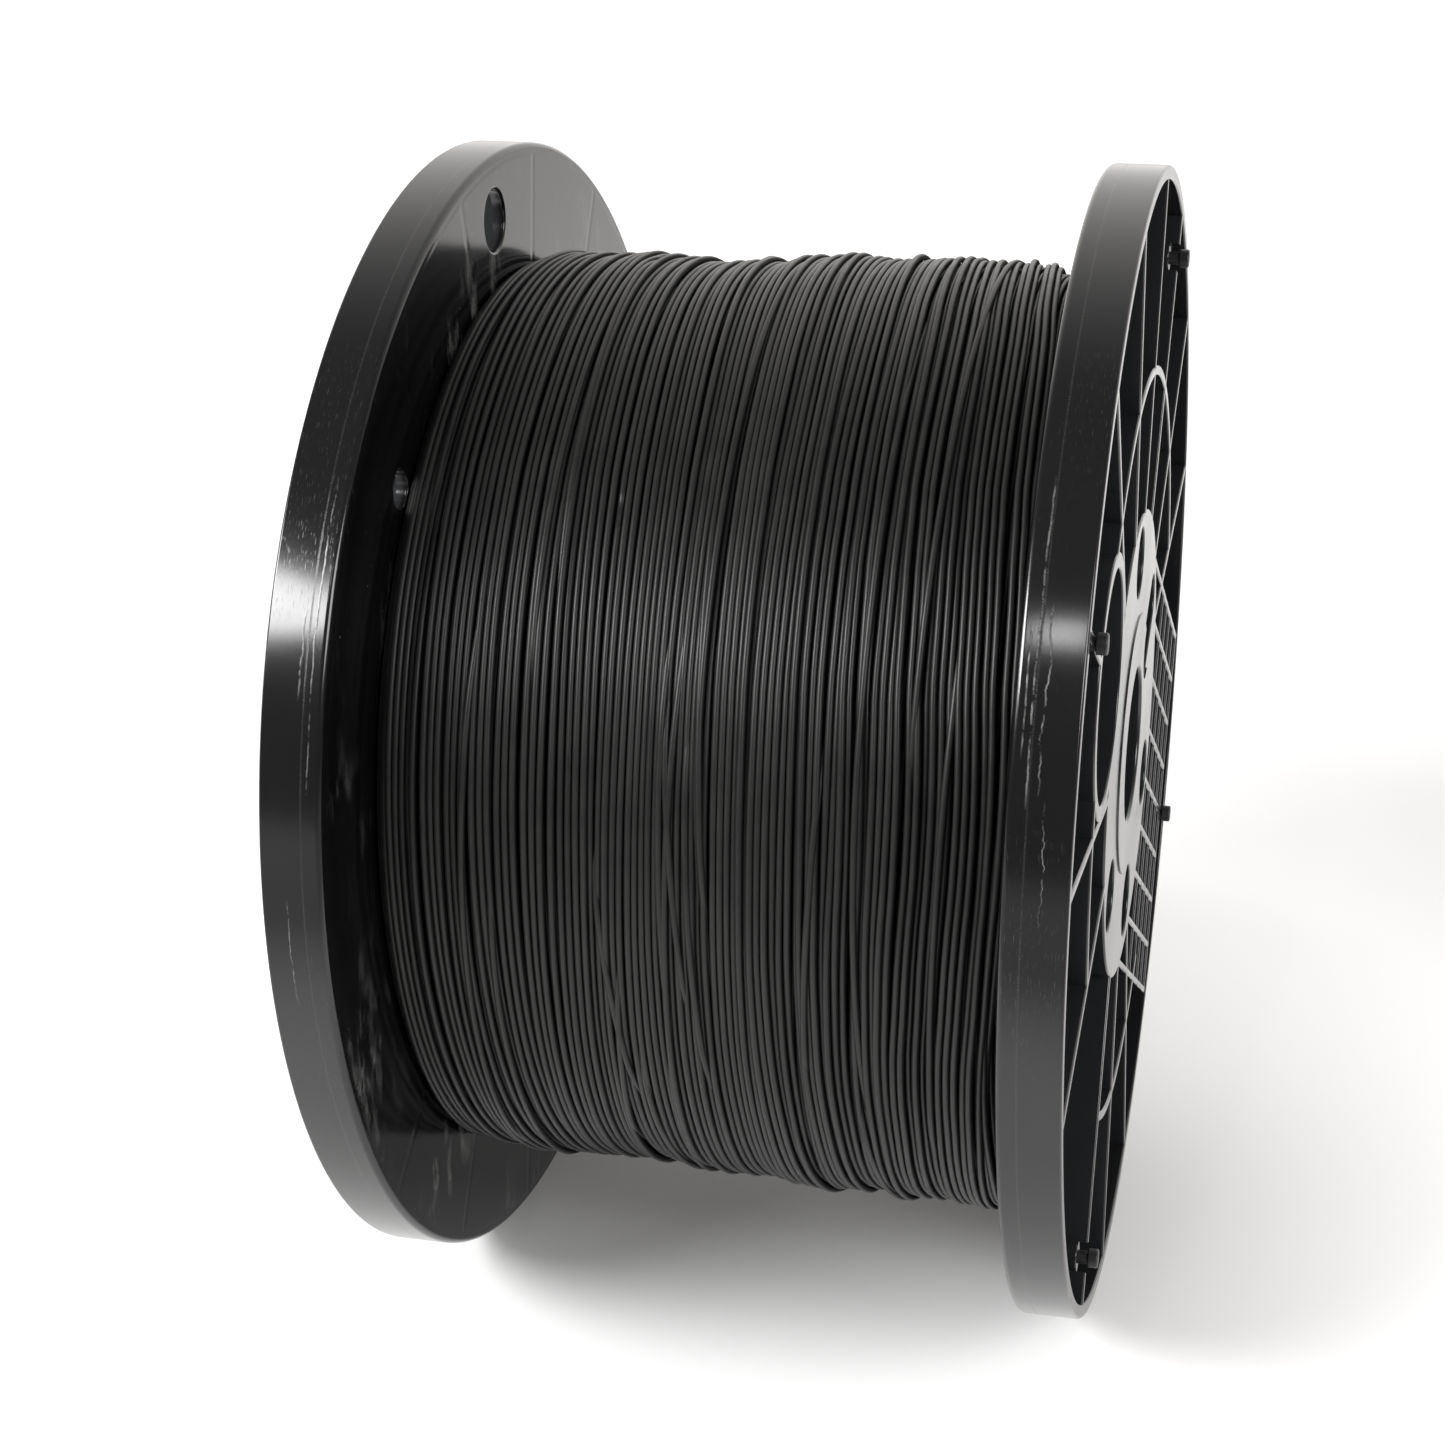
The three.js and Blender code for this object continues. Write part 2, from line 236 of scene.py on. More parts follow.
def add_camera():
    data = bpy.data.cameras.new("camera")
    data.sensor_width = 36
    data.lens = 65.27
    data.shift_x = -0.0687
    data.shift_y = 0.0181
    data.clip_start = 0.01
    camera = bpy.data.objects.new("camera", data)
    camera.location = Vector((0.9583, -4.3094, 1.7441)) * FLANGE_R
    pitch, yaw = 22.23, 12.0
    camera.rotation_euler = (math.radians(90 - pitch), 0, math.radians(yaw))
    bpy.context.scene.collection.objects.link(camera)
    bpy.context.scene.camera = camera


def add_area(name, location, target, width, height, power, shape="RECTANGLE"):
    data = bpy.data.lights.new(name, "AREA")
    data.shape = shape
    data.size = width
    data.size_y = height
    data.energy = power
    light = bpy.data.objects.new(name, data)
    light.location = location
    aim = Vector(target) - Vector(location)
    light.rotation_euler = aim.to_track_quat("-Z", "Y").to_euler()
    bpy.context.scene.collection.objects.link(light)


def add_world():
    """A bright surround behind and above the spool, and a dim room on the camera's side."""
    world = bpy.data.worlds.new("studio")
    bpy.context.scene.world = world
    world.use_nodes = True
    tree = world.node_tree
    background = tree.nodes["Background"]
    background.inputs["Color"].default_value = STUDIO_WHITE
    direction = tree.nodes.new("ShaderNodeSeparateXYZ")
    tree.links.new(tree.nodes.new("ShaderNodeTexCoord").outputs["Generated"], direction.inputs[0])
    total = tree.nodes.new("ShaderNodeMath")
    for socket, (axis, low, high, dim, bright) in zip(total.inputs, SKY):
        ramp = tree.nodes.new("ShaderNodeMapRange")
        ramp.interpolation_type = "SMOOTHSTEP"
        tree.links.new(direction.outputs[axis], ramp.inputs["Value"])
        ramp.inputs["From Min"].default_value = low
        ramp.inputs["From Max"].default_value = high
        ramp.inputs["To Min"].default_value = dim
        ramp.inputs["To Max"].default_value = bright
        tree.links.new(ramp.outputs[0], socket)
    tree.links.new(total.outputs[0], background.inputs["Strength"])


def add_floor():
    sides = ((-1, -1), (1, -1), (1, 1), (-1, 1))
    mesh = bpy.data.meshes.new("floor")
    corners = [(FLOOR_REACH * x, FLOOR_REACH * y, 0) for x, y in sides]
    mesh.from_pydata(corners, [], [(0, 1, 2, 3)])
    floor = bpy.data.objects.new("floor", mesh)
    floor.location.z = cad_bounds[0][2] - FLOOR_DROP
    bpy.context.scene.collection.objects.link(floor)
    mesh.materials.append(floor_material())


def add_studio():
    bpy.context.scene.view_settings.view_transform = "Standard"
    add_world()
    add_floor()
    add_area("window", (-1.273, -1.36, 1.17), (-0.085, -0.13, 0.06), 1.34, 0.58, 50, "ELLIPSE")
    add_area("lamp", (-0.13, -1.67, 1.42), (0.085, -0.13, 0.075), 0.05, 0.16, 1.3)
    add_area("left_side", (-1.27, -0.80, 0.80), (0, 0, 0), 0.90, 0.60, 12)
    add_area("right_side", (1.15, -0.96, 0.80), (0, 0, 0), 0.90, 0.60, 16)


# ---------------------------------------------------------------- materials

class Tree:
    """Short calls for building a material's nodes. A value is a number, a colour or another
    node's output."""

    def __init__(self, name):
        self.material = bpy.data.materials.new(name)
        self.material.use_nodes = True
        self.tree = self.material.node_tree
        self.shader = self.tree.nodes["Principled BSDF"]

    def add(self, kind, **settings):
        node = self.tree.nodes.new(kind)
        for key, value in settings.items():
            setattr(node, key, value)
        return node

    def link(self, source, target):
        self.tree.links.new(source, target)

    def feed(self, sockets, values):
        """Sets or links each socket. A value of None leaves its socket alone."""
        for socket, value in zip(sockets, values):
            if isinstance(value, (int, float)):
                socket.default_value = value
            elif isinstance(value, tuple):
                socket.default_value = (*value, 1)
            elif value is not None:
                self.link(value, socket)

    def math(self, operation, a, b=None, clamp=False):
        node = self.add("ShaderNodeMath", operation=operation, use_clamp=clamp)
        self.feed(node.inputs, (a, b))
        return node.outputs[0]

    def times(self, first, *others):
        for other in others:
            first = self.math("MULTIPLY", first, other)
        return first

    def plus(self, a, b):
        """The sum, held between 0 and 1."""
        return self.math("ADD", a, b, clamp=True)

    def distance(self, a, b):
        """How far the point (a, b) is from (0, 0)."""
        return self.math("SQRT", self.math("ADD", self.times(a, a), self.times(b, b)))

    def split(self, vector):
        node = self.add("ShaderNodeSeparateXYZ")
        self.link(vector, node.inputs[0])
        return node.outputs

    def join(self, *values):
        node = self.add("ShaderNodeCombineXYZ")
        self.feed(node.inputs, values)
        return node.outputs[0]

    def noise(self, vector, scale, detail=3.0, roughness=0.5):
        node = self.add("ShaderNodeTexNoise")
        node.inputs["Scale"].default_value = scale
        node.inputs["Detail"].default_value = detail
        node.inputs["Roughness"].default_value = roughness
        self.link(vector, node.inputs["Vector"])
        return node.outputs[0]

    def ramp(self, value, low, high, from_value=0.0, to_value=1.0):
        """Turns low to high into from_value to to_value, and stays level beyond both."""
        node = self.add("ShaderNodeMapRange", clamp=True)
        node.inputs["From Min"].default_value = low
        node.inputs["From Max"].default_value = high
        node.inputs["To Min"].default_value = from_value
        node.inputs["To Max"].default_value = to_value
        self.link(value, node.inputs["Value"])
        return node.outputs[0]

    def mix(self, factor, first, second):
        node = self.add("ShaderNodeMix", data_type="RGBA")
        self.link(factor, node.inputs["Factor"])
        self.feed(node.inputs[6:8], (first, second))
        return node.outputs[2]

    def bump(self, height, strength, distance, normal=None):
        node = self.add("ShaderNodeBump")
        node.inputs["Strength"].default_value = strength
        node.inputs["Distance"].default_value = distance
        self.feed((node.inputs["Height"], node.inputs["Normal"]), (height, normal))
        return node.outputs["Normal"]

    def object_coordinates(self):
        return self.add("ShaderNodeTexCoord").outputs["Object"]


def floor_material():
    """A pale table top, darker towards the viewer. Its glow is painted light: it glows softly round
    the spool and far behind it, and hardly at all underneath it, where this makes a painted shadow."""
    t = Tree("floor")
    where = t.object_coordinates()
    t.shader.inputs["Roughness"].default_value = 0.7
    t.shader.inputs["Specular IOR Level"].default_value = 0.2
    x, y, _ = t.split(where)
    near = t.distance(x, y)
    pale = t.mix(t.ramp(t.noise(where, 3.0), 0.3, 0.7), *FLOOR_TONES)
    in_front = t.times(t.ramp(near, 0.32, 0.50), t.ramp(y, -0.05, -0.30))
    t.link(t.mix(in_front, pale, FLOOR_IN_FRONT), t.shader.inputs["Base Color"])
    # painted light: the floor glows round the spool, and half as much behind it
    painted_light_pool = t.times(t.ramp(near, 0.27, 0.50, 0.50, 0.0), t.ramp(y, 0.0, 0.2, 1.0, 0.5))
    behind = t.math("ADD", t.ramp(y, -0.35, 0.1, 0.0, 0.06), t.ramp(y, 0.35, 0.8, 0.0, 0.42))
    # painted shadow: the glow fades out under the spool
    outside_painted_shadow = t.ramp(near, 0.08, 0.26, 0.08, 1.0)
    glow = t.times(t.math("ADD", painted_light_pool, behind), outside_painted_shadow)
    t.link(glow, t.shader.inputs["Emission Strength"])
    t.shader.inputs["Emission Color"].default_value = STUDIO_WHITE
    return t.material


def wandering_line(t, angle, x, at, wander, width, first, last):
    """A thin broken scratch that runs round the rim near x = at, from one angle to another."""
    path = t.join(angle, at * 1000)  # each scratch reads its own part of the noise
    drift = t.times(t.math("SUBTRACT", t.noise(path, 9.0, 6.0, 0.72), 0.5), wander)
    off = t.math("ABSOLUTE", t.math("SUBTRACT", t.math("SUBTRACT", x, at), drift))
    line = t.ramp(off, width * 0.5, width, 1.0, 0.0)
    gaps = t.ramp(t.noise(path, 34.0, 4.0, 0.7), 0.40, 0.58)
    start = t.ramp(angle, math.radians(first), math.radians(first + 2))
    end = t.ramp(angle, math.radians(last - 2), math.radians(last), 1.0, 0.0)
    return t.times(line, gaps, t.times(start, end))


def rim_marks(t, where, x, angle, scratches):
    """Scratches, ragged flash along the parting line, and patches of fine wear."""
    depth = t.math("ABSOLUTE", x)
    from_parting = t.math("ABSOLUTE", t.math("SUBTRACT", depth, PARTING_X))
    ragged = t.noise(t.join(t.times(angle, 900.0)), 1.0, 3.0, 0.7)
    flash = t.times(t.ramp(from_parting, 0.10 * MM, 0.32 * MM, 1.0, 0.0),
                    t.ramp(ragged, 0.48, 0.66))
    marks = t.times(flash, 0.45)
    for scratch in scratches:
        marks = t.plus(marks, wandering_line(t, angle, x, *scratch))
    streaks = t.noise(t.join(t.times(angle, 0.15), t.times(depth, 14.0)), 330.0, 3.0)
    patches = t.ramp(t.noise(where, 17.0, 3.0), 0.52, 0.64)
    return t.plus(marks, t.times(t.ramp(streaks, 0.62, 0.72), patches, 0.35))


def face_dust(t, where):
    """Slanting smears and small specks."""
    slanted = t.add("ShaderNodeMapping")
    slanted.inputs["Rotation"].default_value = (math.radians(32), 0, 0)
    slanted.inputs["Scale"].default_value = (1, 1, 0.35)
    t.link(where, slanted.inputs["Vector"])
    smears = t.times(t.ramp(t.noise(slanted.outputs[0], 150.0, 7.0, 0.72), 0.52, 0.72),
                     t.ramp(t.noise(where, 24.0, 2.0), 0.48, 0.66))
    specks = t.times(t.ramp(t.noise(where, 1100.0, 1.0), 0.74, 0.80),
                     t.ramp(t.noise(where, 11.0, 3.0), 0.40, 0.60))
    return t.plus(t.times(smears, 0.75), t.times(specks, 0.5))


def flange_material(name, scratches):
    """Black glossy moulded plastic, scuffed along the rim, dusty on the inner face, and painted
    paler in the cells as painted light."""
    t = Tree(name)
    where = t.object_coordinates()
    x, y, z = t.split(where)
    angle = t.math("ARCTAN2", z, t.times(y, -1.0))
    radius = t.distance(y, z)
    depth = t.math("ABSOLUTE", x)
    on_rim = t.ramp(radius, FLANGE_R - 3 * MM, FLANGE_R - 1.5 * MM)
    on_face = t.times(t.ramp(radius, FLANGE_R - 2.5 * MM, FLANGE_R - 3.5 * MM),
                      t.ramp(depth, INNER_X + 0.8 * MM, INNER_X + 0.3 * MM))
    # painted light: the cells get a paler black than the rest of the flange
    painted_light_in_cells = t.times(t.ramp(radius, FLANGE_R - 3 * MM, FLANGE_R - 4 * MM),
                       t.ramp(depth, INNER_X + 1 * MM, INNER_X + 2 * MM))

    marks = t.times(rim_marks(t, where, x, angle, scratches), on_rim)
    pale = t.plus(t.times(marks, 0.55), t.times(face_dust(t, where), on_face))
    blotches = t.noise(where, 22.0, 4.0)
    black = t.mix(painted_light_in_cells, t.mix(blotches, *FLANGE_BLACKS), CELL_PAINTED_LIGHT)
    t.link(t.mix(pale, black, DUST_GREY), t.shader.inputs["Base Color"])
    t.link(t.plus(t.ramp(blotches, 0.3, 0.7, 0.13, 0.19), t.times(pale, 0.25)),
           t.shader.inputs["Roughness"])
    t.shader.inputs["IOR"].default_value = 1.5

    peel = t.noise(where, 620.0, 2.0)
    relief = t.math("ADD", t.times(peel, 0.05), t.times(marks, 3.0))
    rough_normal = t.bump(relief, 0.16, 0.06 * MM)
    sinks = t.times(sink_marks(t, angle, radius), on_face)
    t.link(t.bump(sinks, 0.22, 0.30 * MM, rough_normal), t.shader.inputs["Normal"])
    return t.material


def sink_marks(t, angle, radius):
    """Faint hollows on the inner face where a radial rib stands on the other side."""
    step = math.radians(RIB_STEP)
    first = math.radians(180 - BASE)
    turns = t.math("DIVIDE", t.math("SUBTRACT", angle, first), step)
    from_rib = t.math("ABSOLUTE", t.math("SUBTRACT", turns, t.math("ROUND", turns)))
    return t.ramp(t.times(from_rib, step, radius), 0.2 * MM, 1.9 * MM)


def satin_black(name, colour, roughness):
    """Satin black plastic with slightly paler patches."""
    t = Tree(name)
    where = t.object_coordinates()
    tone = t.noise(where, 60.0, 4.0)
    lighter = tuple(1.6 * c for c in colour)
    t.link(t.mix(tone, colour, lighter), t.shader.inputs["Base Color"])
    t.link(t.ramp(tone, 0.3, 0.7, roughness - 0.06, roughness + 0.06),
           t.shader.inputs["Roughness"])
    t.link(t.bump(t.noise(where, 900.0, 2.0), 0.12, 0.05 * MM), t.shader.inputs["Normal"])
    return t.material


def filament_material(name, shade):
    """Satin grey-black strand: slight tone changes along it, fine extrusion lines, and painted
    shade on the sides where two strands meet. The shade is 1 on the outside and less in the layers
    below."""
    t = Tree(name)
    coordinates = t.add("ShaderNodeTexCoord")
    where, normal = coordinates.outputs["Object"], coordinates.outputs["Normal"]
    x, y, z = t.split(where)
    outward = t.add("ShaderNodeVectorMath", operation="NORMALIZE")
    t.link(t.join(None, y, z), outward.inputs[0])
    dot = t.add("ShaderNodeVectorMath", operation="DOT_PRODUCT")
    t.feed(dot.inputs, (normal, outward.outputs[0]))
    facing_out = dot.outputs["Value"]

    along = t.join(t.times(t.math("ARCTAN2", y, z), 0.12), t.distance(y, z), x)
    tone = t.noise(along, 120.0, 3.0)
    # painted shade: the strand darkens towards its sides, where it meets its neighbours
    painted_groove_shade = t.ramp(facing_out, 0.35, 0.95, 0.05 * shade, shade)
    streak = t.ramp(t.noise(t.join(t.times(x, 190.0)), 1.0, 2.0), 0.35, 0.65, 0.72, 1.15)
    colour = t.mix(t.times(painted_groove_shade, streak), GROOVE_PAINTED_SHADE, t.mix(tone, *STRAND_GREYS))
    t.link(colour, t.shader.inputs["Base Color"])
    groove_roughness = t.ramp(facing_out, 0.30, 0.90, 0.50, 0.0)
    t.link(t.plus(t.ramp(tone, 0.3, 0.7, 0.32, 0.40), groove_roughness),
           t.shader.inputs["Roughness"])
    # painted shade: the copy for the layers below also gets less specular
    t.shader.inputs["Specular IOR Level"].default_value = 0.24 * shade
    t.link(t.bump(t.noise(where, 2600.0, 2.0), 0.25, 0.03 * MM), t.shader.inputs["Normal"])
    return t.material


def steel_material():
    """Dull zinc plating with turning marks and dark stains."""
    t = Tree("zinc_steel")
    where = t.object_coordinates()
    stains = t.ramp(t.noise(where, 210.0, 5.0, 0.6), 0.35, 0.7)
    t.link(t.mix(stains, *ZINC_GREYS), t.shader.inputs["Base Color"])
    t.shader.inputs["Metallic"].default_value = 1.0
    t.link(t.ramp(stains, 0.0, 1.0, 0.30, 0.50), t.shader.inputs["Roughness"])
    t.link(t.bump(t.noise(where, 1500.0, 2.0), 0.2, 0.04 * MM), t.shader.inputs["Normal"])
    return t.material


# ---------------------------------------------------------------- mesh helpers

def polar_point(at, angle):
    a = math.radians(angle)
    return at * math.cos(a), at * math.sin(a)


def new_object(name, vertices, faces):
    mesh = bpy.data.meshes.new(name)
    mesh.from_pydata(vertices, [], faces)
    mesh.update()
    piece = bpy.data.objects.new(name, mesh)
    bpy.context.scene.collection.objects.link(piece)
    face_outwards(mesh)
    return piece


def face_outwards(mesh):
    bm = bmesh.new()
    bm.from_mesh(mesh)
    bmesh.ops.recalc_face_normals(bm, faces=bm.faces)
    bm.to_mesh(mesh)
    bm.free()


def rounded(points, steps=4):
    """A closed outline of (a, b, corner radius) with each corner turned into an arc."""
    out = []
    count = len(points)
    for i, (a, b, radius) in enumerate(points):
        here = Vector((a, b))
        if radius == 0:
            out.append((a, b))
            continue
        back = (Vector(points[i - 1][:2]) - here).normalized()
        on = (Vector(points[(i + 1) % count][:2]) - here).normalized()
        half = back.angle(on) / 2
        centre = here + (back + on).normalized() * (radius / math.sin(half))
        start = here + back * (radius / math.tan(half)) - centre
        end = here + on * (radius / math.tan(half)) - centre
        first = math.atan2(start.y, start.x)
        swing = (math.atan2(end.y, end.x) - first + math.pi) % (2 * math.pi) - math.pi
        for k in range(steps + 1):
            angle = first + swing * k / steps
            out.append((centre.x + radius * math.cos(angle), centre.y + radius * math.sin(angle)))
    return out


def lathe(name, profile, segments, at=0.0, angle=0.0):
    """Revolves a closed (radius, x) outline about X, or about a line beside it. An outline
    that touches the axis is closed there."""
    cy, cz = polar_point(at, angle)
    vertices = []
    faces = []
    rings = []
    for r, x in profile:
        if r < ON_AXIS:
            rings.append([len(vertices)])
            vertices.append((x, cy, cz))
            continue
        rings.append(list(range(len(vertices), len(vertices) + segments)))
        for k in range(segments):
            turn = 2 * math.pi * k / segments
            vertices.append((x, cy + r * math.cos(turn), cz + r * math.sin(turn)))
    count = len(rings)
    for i, ring in enumerate(rings):
        after = rings[(i + 1) % count]
        if len(ring) == 1 and len(after) == 1:
            continue
        for k in range(segments):
            n = (k + 1) % segments
            if len(ring) == 1:
                faces.append((ring[0], after[k], after[n]))
            elif len(after) == 1:
                faces.append((ring[k], after[0], ring[n]))
            else:
                faces.append((ring[k], after[k], after[n], ring[n]))
    return new_object(name, vertices, faces)


def rib_top(radius):
    """Rib tops fall slightly from the rim to the hub face."""
    share = max(0.0, min(1.0, (radius - HUB_R) / (RIM_INNER_R - HUB_R)))
    return HUB_X + share * (RIM_X - RIB_TOP_DROP - HUB_X)


def rib(name, path, thickness, closed=False, edge=RIB_EDGE):
    """A drafted wall that stands on the floor along a path of (y, z) points, with a rounded
    top edge."""
    arc = [math.radians(a) for a in (0, 30, 60, 90)]
    side = [(thickness / 2 - edge * (1 - math.cos(a)), edge * (1 - math.sin(a))) for a in arc]
    section = [(thickness / 2 + RIB_DRAFT, None)] + side
    section += [(-v, d) for v, d in reversed(section)]
    vertices = []
    count = len(path)
    for i, (y, z) in enumerate(path):
        before = Vector(path[i - 1] if closed or i else path[0])
        after = Vector(path[(i + 1) % count] if closed or i < count - 1 else path[-1])
        along = (after - before).normalized()
        across = Vector((-along.y, along.x))
        top = rib_top(math.hypot(y, z))
        for v, drop in section:
            x = RIB_FOOT if drop is None else top - drop
            vertices.append((x, y + across.x * v, z + across.y * v))
    width = len(section)
    faces = []
    for i in range(count if closed else count - 1):
        j = (i + 1) % count
        for k in range(width):
            n = (k + 1) % width
            faces.append((i * width + k, i * width + n, j * width + n, j * width + k))
    if not closed:
        faces.append(tuple(range(width)))
        faces.append(tuple(range((count - 1) * width, count * width)))
    return new_object(name, vertices, faces)


def flared_outline_hole(name, outline_at, low, mouth, flare=0.5 * MM, steps=4):
    """A cutter whose outline opens out into a rounded edge at the mouth."""
    levels = [(0.0, low), (0.0, mouth - flare)]
    for k in range(1, steps + 1):
        a = math.pi / 2 * k / steps
        levels.append((flare * (1 - math.cos(a)), mouth - flare + flare * math.sin(a)))
    levels.append((flare, mouth + 2 * MM))
    vertices = []
    for grow, x in levels:
        vertices += [(x, y, z) for y, z in outline_at(grow)]
    width = len(vertices) // len(levels)
    faces = []
    for i in range(len(levels) - 1):
        for k in range(width):
            n = (k + 1) % width
            faces.append((i * width + k, i * width + n, (i + 1) * width + n, (i + 1) * width + k))
    faces.append(tuple(range(width)))
    faces.append(tuple(range((len(levels) - 1) * width, len(levels) * width)))
    return new_object(name, vertices, faces)


def round_outline(at, angle, radius, segments=56):
    cy, cz = polar_point(at, angle)

    def outline(grow):
        points = []
        for k in range(segments):
            turn = 2 * math.pi * k / segments
            points.append((cy + (radius + grow) * math.cos(turn),
                           cz + (radius + grow) * math.sin(turn)))
        return points

    return outline


def slot_outline(angle, start, end, half, steps=16):
    turn = math.radians(angle)

    def outline(grow):
        points = []
        for at, first in ((end - half, -math.pi / 2), (start + half, math.pi / 2)):
            for k in range(steps + 1):
                a = turn + first + math.pi * k / steps
                points.append((at * math.cos(turn) + (half + grow) * math.cos(a),
                               at * math.sin(turn) + (half + grow) * math.sin(a)))
        return points

    return outline


def combine(base, others, operation):
    """Joins or cuts base with each of the others, then bakes the result into base's mesh."""
    for other in others:
        step = base.modifiers.new("combine", "BOOLEAN")
        step.operation = operation
        step.solver = "MANIFOLD"
        step.object = other
    bake(base)
    for other in others:
        data = other.data
        bpy.data.objects.remove(other)
        bpy.data.meshes.remove(data)


def bake(piece):
    graph = bpy.context.evaluated_depsgraph_get()
    mesh = bpy.data.meshes.new_from_object(piece.evaluated_get(graph))
    old = piece.data
    piece.modifiers.clear()
    piece.data = mesh
    bpy.data.meshes.remove(old)


def smooth(piece, limit=38):
    """Smooth shading, with edges sharper than the limit kept crisp and flat faces kept flat."""
    bm = bmesh.new()
    bm.from_mesh(piece.data)
    bmesh.ops.remove_doubles(bm, verts=bm.verts, dist=SAME_POINT)
    bmesh.ops.dissolve_degenerate(bm, edges=bm.edges, dist=SAME_POINT)
    for face in bm.faces:
        face.smooth = True
    for edge in bm.edges:
        sharp = len(edge.link_faces) == 2 and edge.calc_face_angle(0) > math.radians(limit)
        edge.smooth = not sharp
    bm.to_mesh(piece.data)
    bm.free()
    weighted = piece.modifiers.new("normals", "WEIGHTED_NORMAL")
    weighted.keep_sharp = True
    weighted.weight = 80


def finish_piece(piece, material, slot, *nodes):
    piece.data.materials.clear()
    piece.data.materials.append(material)
    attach(piece, "root")
    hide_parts(*nodes)


# ---------------------------------------------------------------- flanges

def flange_shell():
    r = FLANGE_R - SKIN
    face = RIM_X - SKIN
    collar = HUB_X + COLLAR_RISE
    outline = [
        (BORE_R, collar, 0.9 * MM),
        (BORE_R, collar - BORE_SLEEVE, 0.4 * MM),
        (BORE_R + BORE_WALL, collar - BORE_SLEEVE, 0.4 * MM),
        (BORE_R + BORE_WALL, PLATE_X, 0.8 * MM),
        (HUB_R - HUB_WALL, PLATE_X, 1.2 * MM),
        (HUB_R - HUB_WALL, INNER_X - SPIGOT, 0.6 * MM),
        (HUB_R, INNER_X - SPIGOT, 0.8 * MM),
        (HUB_R, INNER_X, 0.5 * MM),
        (r, INNER_X, EDGE_ROUND),
        (r, face, 0.7 * MM),
        (RIM_INNER_R, face, 0.5 * MM),
        (RIM_INNER_R, FLOOR_X, 1.0 * MM),
        (HUB_R, FLOOR_X, 1.0 * MM),
        (HUB_R, HUB_X, 0.6 * MM),
        (COLLAR_R + 0.5 * MM, HUB_X, 0.12 * MM),
        (COLLAR_R + 0.3 * MM, HUB_X - 0.25 * MM, 0.1 * MM),
        (COLLAR_R, HUB_X - 0.25 * MM, 0.1 * MM),
        (COLLAR_R - 0.05 * MM, collar, 0.15 * MM),
    ]
    return lathe("flange_shell", rounded(outline), FLANGE_SIDES)


def line_path(start, end, aside, angle, steps=1):
    """Points of a straight line that runs outwards at an angle, or beside that direction."""
    a = math.radians(angle)
    along = Vector((math.cos(a), math.sin(a)))
    across = Vector((-math.sin(a), math.cos(a))) * aside
    points = [along * (start + (end - start) * k / steps) + across for k in range(steps + 1)]
    return [tuple(p) for p in points]


def arc_path(radius, start, end, step=2.5):
    """Points round the axis from one angle to another, about a step apart."""
    count = max(2, round((end - start) / step))
    return [polar_point(radius, start + (end - start) * k / count) for k in range(count + 1)]


def radial_ribs():
    ribs = []
    for k in range(RIB_COUNT):
        if k == OPEN_RIB or k in GRID_RIBS:
            continue
        start = POCKET_AT + POCKET_R + RIB_EMBED if k == 0 else HUB_R - RIB_EMBED
        path = line_path(start, RIM_INNER_R + RIB_EMBED, 0, BASE + k * RIB_STEP)
        ribs.append(rib("rib", path, RIB))
    return ribs


def ring_ribs():
    before_open = BASE + (OPEN_RIB - 1) * RIB_STEP
    after_open = BASE + (OPEN_RIB + 1) * RIB_STEP
    after_grid = BASE + (GRID_RIBS[2] + 1) * RIB_STEP - 360
    before_grid = BASE + (GRID_RIBS[0] - 1 / 3) * RIB_STEP
    return [
        rib("ring_rib", arc_path(RING_RIB_R, after_grid, before_open), RING_RIB),
        rib("ring_rib", arc_path(RING_RIB_R, after_open, before_grid), RING_RIB),
    ]


def grid_ribs():
    angle = BASE + 180
    end = GRID_FIRST + (GRID_CROSS - 1) * GRID_STEP + 0.3 * MM  # inside the last cross rib
    half = GRID_HALF * GRID_PITCH + GRID_RIB / 2
    ribs = []
    for k in range(-GRID_HALF, GRID_HALF + 1):
        v = k * GRID_PITCH
        start = math.sqrt((HUB_R - RIB_EMBED) ** 2 - v ** 2)
        ribs.append(rib("rung", line_path(start, end, v, angle, 3), GRID_RIB))
    for k in range(GRID_CROSS):
        u = GRID_FIRST + k * GRID_STEP
        path = line_path(-half, half, -u, angle + 90, 8)
        ribs.append(rib("cross_rib", path, GRID_RIB, edge=GRID_EDGE))
    return ribs


def pocket_path(radius):
    cy, cz = polar_point(POCKET_AT, BASE)
    turns = [2 * math.pi * k / POCKET_SIDES for k in range(POCKET_SIDES)]
    return [(cy + radius * math.cos(t), cz + radius * math.sin(t)) for t in turns]


def bosses():
    """Bosses for the stacking pins, and the round seats of the tie bolts or nuts."""
    boss = rounded([(0, RIB_FOOT, 0), (BOSS_R, RIB_FOOT, 0), (BOSS_R, BOSS_TOP, 0.4 * MM),
                    (0, BOSS_TOP, 0)])
    seat = cylinder(SEAT_R + SEAT_WALL, SEAT_X - PLATE, PLATE_X + 0.6 * MM)
    angles = [BASE + PIN_STEP * k for k in range(PIN_COUNT)]
    pin_bosses = [lathe("boss", boss, PIN_SIDES, PIN_AT, a) for a in angles]
    return pin_bosses + [lathe("seat", seat, SEAT_SIDES, BOLT_AT, a) for a in BOLT_ANGLES]


def pocket_floor():
    radius = POCKET_R + POCKET_WALL - 0.3 * MM
    profile = cylinder(radius, INNER_X + 0.01 * MM, FLOOR_X + 0.3 * MM)
    return lathe("pocket_floor", profile, POCKET_SIDES, POCKET_AT, BASE)


def pocket_cutter():
    """Clears everything inside the round pocket down to its floor."""
    profile = cylinder(POCKET_R + POCKET_WALL / 2, FLOOR_X, RIM_X + MM)
    return lathe("pocket_cutter", profile, POCKET_SIDES, POCKET_AT, BASE)


